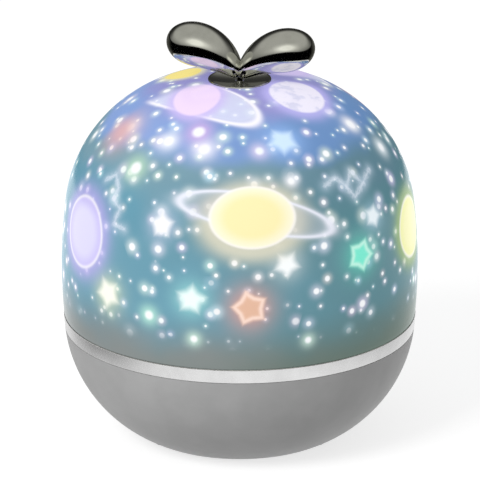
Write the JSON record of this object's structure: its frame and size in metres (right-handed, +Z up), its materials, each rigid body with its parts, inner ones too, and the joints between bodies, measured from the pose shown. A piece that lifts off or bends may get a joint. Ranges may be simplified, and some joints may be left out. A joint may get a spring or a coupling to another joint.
{
  "type": "star night light projector",
  "caption": "Round bedside star night light: bowl base, lift-off lit dome with a plated two-leaf sprout, and a motor-driven turntable carrying printed films round a lamp.",
  "frame": {"origin": "on the surface the lamp stands on, under the centre of its round body", "axes": "+Z up along the body's axis, front of the lamp towards -Y, buttons and power inlet towards +Y, +X to the viewer's right"},
  "size_m": [0.12, 0.12, 0.1435],
  "materials": {
    "grey_satin": "satin moulded plastic, pale grey",
    "silver_ring": "satin silver plating",
    "white_plastic": "plain moulded plastic, white",
    "grey_rubber": "soft rubber, matt",
    "screw_steel": "zinc plated steel",
    "cell_jacket": "printed shrink sleeve, plain",
    "contact_nickel": "nickel plated spring steel",
    "board_green": "solder mask over glass fibre",
    "board_parts": "moulded component bodies",
    "switch_black": "moulded switch body",
    "button_white": "polished moulded plastic",
    "socket_steel": "bright drawn steel",
    "motor_can": "zinc plated steel can",
    "gear_white": "acetal, natural white",
    "lamp_board": "white solder mask on aluminium",
    "led_face": "phosphor face of the light chips",
    "lens_clear": "clear moulded plastic",
    "cover_clear": "clear moulded plastic",
    "film_print": null,
    "dome_print": null,
    "sprout_chrome": "dark vacuum chrome plating",
    "lead_red": "insulated wire",
    "lead_yellow": "insulated wire"
  },
  "bodies": {
    "base": {"base_bowl": "grey_satin", "trim_ring": "silver_ring", "deck_plate": "white_plastic", "rubber_feet": "grey_rubber", "case_screws": "screw_steel", "battery_box": "white_plastic", "battery_cell_1": "cell_jacket", "battery_cell_2": "cell_jacket", "battery_cell_3": "cell_jacket", "contact_plates": "contact_nickel", "battery_springs": "contact_nickel", "control_board": "board_green", "board_screws": "screw_steel", "board_parts": "board_parts", "switch_housings": "switch_black", "power_socket": "socket_steel", "socket_tongue": "switch_black", "drive_motor": "motor_can", "gear_bracket": "white_plastic", "bracket_screws": "screw_steel", "gear_axle": "socket_steel", "thrust_washer": "gear_white", "lamp_column": "white_plastic", "lamp_board": "lamp_board", "led_chips": "led_face", "lamp_lens": "lens_clear", "lamp_leads": "lead_red", "motor_leads": "lead_yellow", "battery_leads": "lead_red"},
    "carousel": {"turntable": "white_plastic", "ring_gear": "gear_white", "film_cover": "cover_clear", "side_film": "film_print", "top_film": "film_print"},
    "idler": {"reduction_gear": "gear_white"},
    "rotor": {"motor_shaft": "socket_steel", "motor_pinion": "gear_white"},
    "dome": {"outer_dome": "dome_print", "sprout_dish": "sprout_chrome", "sprout": "sprout_chrome", "sprout_washer": "socket_steel", "sprout_nut": "socket_steel"},
    "light_key": {"light_button": "button_white", "light_switch_plunger": "switch_black"},
    "colour_key": {"colour_button": "button_white", "colour_switch_plunger": "switch_black"},
    "rotate_key": {"rotate_button": "button_white", "rotate_switch_plunger": "switch_black"},
    "door": {"battery_door": "grey_satin"}
  },
  "joints": [
    {"name": "turntable_spin", "type": "hinge", "parent": "base", "child": "carousel", "pos_m": [0, 0, 0.045], "axis": [0, 0, 1], "continuous": true},
    {"name": "idler_spin", "type": "hinge", "parent": "base", "child": "idler", "pos_m": [0.008, -0.03674, 0.04], "axis": [0, 0, 1], "continuous": true},
    {"name": "motor_spin", "type": "hinge", "parent": "base", "child": "rotor", "pos_m": [-0.007, -0.03674, 0.035], "axis": [0, 0, 1], "continuous": true},
    {"name": "dome_lift", "type": "slide", "parent": "base", "child": "dome", "axis": [0, 0, 1], "range_m": [0, 0.1]},
    {"name": "light_press", "type": "slide", "parent": "base", "child": "light_key", "axis": [0, -1, 0], "range_m": [0, 0.001], "stiffness_N_per_m": 300},
    {"name": "colour_press", "type": "slide", "parent": "base", "child": "colour_key", "axis": [0, -1, 0], "range_m": [0, 0.001], "stiffness_N_per_m": 300},
    {"name": "rotate_press", "type": "slide", "parent": "base", "child": "rotate_key", "axis": [0, -1, 0], "range_m": [0, 0.001], "stiffness_N_per_m": 300},
    {"name": "battery_door_swing", "type": "hinge", "parent": "base", "child": "door", "pos_m": [0, -0.02585, 0.001], "axis": [-1, 0, 0], "range_deg": [0, 80]}
  ],
  "couplings": [
    {"joint": "idler_spin", "follows": "turntable_spin", "ratio": -5.7143},
    {"joint": "motor_spin", "follows": "turntable_spin", "ratio": 22.857}
  ]
}
